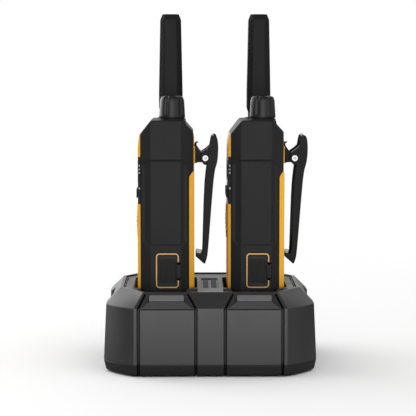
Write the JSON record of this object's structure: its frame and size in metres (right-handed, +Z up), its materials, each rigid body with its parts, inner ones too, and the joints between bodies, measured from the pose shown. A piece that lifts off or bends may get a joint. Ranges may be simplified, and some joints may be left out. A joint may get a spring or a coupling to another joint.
{
  "type": "two way radio set",
  "caption": "Rugged handheld two way radios with belt clips and side ports, standing in a two bay charging dock; radios lift out.",
  "frame": {"origin": "on the ground under the centre of the dock", "axes": "+Z up; +X from the fronts of the radios towards their belt clips; +Y away from the side that carries the accessory ports"},
  "size_m": [0.1424, 0.121, 0.239],
  "materials": {
    "body_black": "fine moulded grain",
    "shell_yellow": "satin moulded",
    "panel_black": "satin",
    "lens_gloss": "polished smoked window",
    "rubber_black": "matt soft touch",
    "speaker_black": "paper cone and pressed basket",
    "board_green": "solder mask",
    "battery_wrap": "shrink wrap",
    "steel": "plated",
    "pin_steel": "bright turned end",
    "trim_gold": "satin painted line",
    "antenna_rubber": "matt overmoulded",
    "knob_black": "satin",
    "clip_gloss": "glossy moulded",
    "brass": "plated contact",
    "dock_grey": "fine moulded grain",
    "dock_base_grey": "fine moulded grain",
    "tray_grey": "fine moulded grain",
    "foot_rubber": "matt",
    "light_lens": "frosted bar lens"
  },
  "bodies": {
    "dock": {"dock_base": "dock_base_grey", "dock_board": "board_green", "dock_centre_plate": "tray_grey", "dock_contact_pins": "brass", "dock_feet": "foot_rubber", "dock_power_socket": "panel_black", "dock_screws": "steel", "dock_shell": "dock_grey", "dock_status_lights": "light_lens", "dock_tray": "tray_grey"},
    "left_radio": {"left_accessory_jack": "panel_black", "left_antenna": "antenna_rubber", "left_back_cover": "shell_yellow", "left_battery_pack": "battery_wrap", "left_case": "body_black", "left_case_screws": "steel", "left_charge_contacts": "brass", "left_clip_bracket": "clip_gloss", "left_clip_spring": "steel", "left_control_panel": "panel_black", "left_display_lens": "lens_gloss", "left_front_cover": "shell_yellow", "left_main_board": "board_green", "left_port_trim": "trim_gold", "left_speaker": "speaker_black", "left_speaker_grille": "body_black"},
    "left_knob": {"left_knob": "knob_black", "left_knob_shaft": "steel"},
    "left_ptt": {"left_ptt_button": "rubber_black"},
    "left_key_up": {"left_key_up": "rubber_black"},
    "left_key_menu": {"left_key_menu": "rubber_black"},
    "left_key_down": {"left_key_down": "rubber_black"},
    "left_port_cover": {"left_port_cover": "rubber_black"},
    "left_clip": {"left_clip_arm": "clip_gloss", "left_clip_pin": "pin_steel"},
    "right_radio": {"right_accessory_jack": "panel_black", "right_antenna": "antenna_rubber", "right_back_cover": "shell_yellow", "right_battery_pack": "battery_wrap", "right_case": "body_black", "right_case_screws": "steel", "right_charge_contacts": "brass", "right_clip_bracket": "clip_gloss", "right_clip_spring": "steel", "right_control_panel": "panel_black", "right_display_lens": "lens_gloss", "right_front_cover": "shell_yellow", "right_main_board": "board_green", "right_port_trim": "trim_gold", "right_speaker": "speaker_black", "right_speaker_grille": "body_black"},
    "right_knob": {"right_knob": "knob_black", "right_knob_shaft": "steel"},
    "right_ptt": {"right_ptt_button": "rubber_black"},
    "right_key_up": {"right_key_up": "rubber_black"},
    "right_key_menu": {"right_key_menu": "rubber_black"},
    "right_key_down": {"right_key_down": "rubber_black"},
    "right_port_cover": {"right_port_cover": "rubber_black"},
    "right_clip": {"right_clip_arm": "clip_gloss", "right_clip_pin": "pin_steel"}
  },
  "joints": [
    {"name": "left_radio_lift", "type": "slide", "parent": "dock", "child": "left_radio", "axis": [0, 0, 1], "range_m": [0, 0.06]},
    {"name": "left_knob_turn", "type": "hinge", "parent": "left_radio", "child": "left_knob", "pos_m": [-0.0254, -0.019, 0.17], "axis": [0, 0, -1], "range_deg": [0, 290]},
    {"name": "left_ptt_press", "type": "slide", "parent": "left_radio", "child": "left_ptt", "axis": [0, -1, 0], "range_m": [0, 0.0008], "stiffness_N_per_m": 900, "springref_m": -0.0006},
    {"name": "left_key_up_press", "type": "slide", "parent": "left_radio", "child": "left_key_up", "axis": [1, 0, 0], "range_m": [0, 0.0006], "stiffness_N_per_m": 600, "springref_m": -0.0005},
    {"name": "left_key_menu_press", "type": "slide", "parent": "left_radio", "child": "left_key_menu", "axis": [1, 0, 0], "range_m": [0, 0.0006], "stiffness_N_per_m": 600, "springref_m": -0.0005},
    {"name": "left_key_down_press", "type": "slide", "parent": "left_radio", "child": "left_key_down", "axis": [1, 0, 0], "range_m": [0, 0.0006], "stiffness_N_per_m": 600, "springref_m": -0.0005},
    {"name": "left_port_cover_swing", "type": "hinge", "parent": "left_radio", "child": "left_port_cover", "pos_m": [-0.0204, -0.029, 0.066], "axis": [0, 0, 1], "range_deg": [0, 110]},
    {"name": "left_clip_open", "type": "hinge", "parent": "left_radio", "child": "left_clip", "pos_m": [-0.003, 0, 0.1411], "axis": [0, -1, 0], "range_deg": [0, 9], "stiffness_Nm_per_rad": 0.6, "springref_deg": -17.19},
    {"name": "right_radio_lift", "type": "slide", "parent": "dock", "child": "right_radio", "axis": [0, 0, 1], "range_m": [0, 0.06]},
    {"name": "right_knob_turn", "type": "hinge", "parent": "right_radio", "child": "right_knob", "pos_m": [0.0354, -0.019, 0.17], "axis": [0, 0, -1], "range_deg": [0, 290]},
    {"name": "right_ptt_press", "type": "slide", "parent": "right_radio", "child": "right_ptt", "axis": [0, -1, 0], "range_m": [0, 0.0008], "stiffness_N_per_m": 900, "springref_m": -0.0006},
    {"name": "right_key_up_press", "type": "slide", "parent": "right_radio", "child": "right_key_up", "axis": [1, 0, 0], "range_m": [0, 0.0006], "stiffness_N_per_m": 600, "springref_m": -0.0005},
    {"name": "right_key_menu_press", "type": "slide", "parent": "right_radio", "child": "right_key_menu", "axis": [1, 0, 0], "range_m": [0, 0.0006], "stiffness_N_per_m": 600, "springref_m": -0.0005},
    {"name": "right_key_down_press", "type": "slide", "parent": "right_radio", "child": "right_key_down", "axis": [1, 0, 0], "range_m": [0, 0.0006], "stiffness_N_per_m": 600, "springref_m": -0.0005},
    {"name": "right_port_cover_swing", "type": "hinge", "parent": "right_radio", "child": "right_port_cover", "pos_m": [0.0404, -0.029, 0.066], "axis": [0, 0, 1], "range_deg": [0, 110]},
    {"name": "right_clip_open", "type": "hinge", "parent": "right_radio", "child": "right_clip", "pos_m": [0.0578, 0, 0.1411], "axis": [0, -1, 0], "range_deg": [0, 9], "stiffness_Nm_per_rad": 0.6, "springref_deg": -17.19}
  ]
}
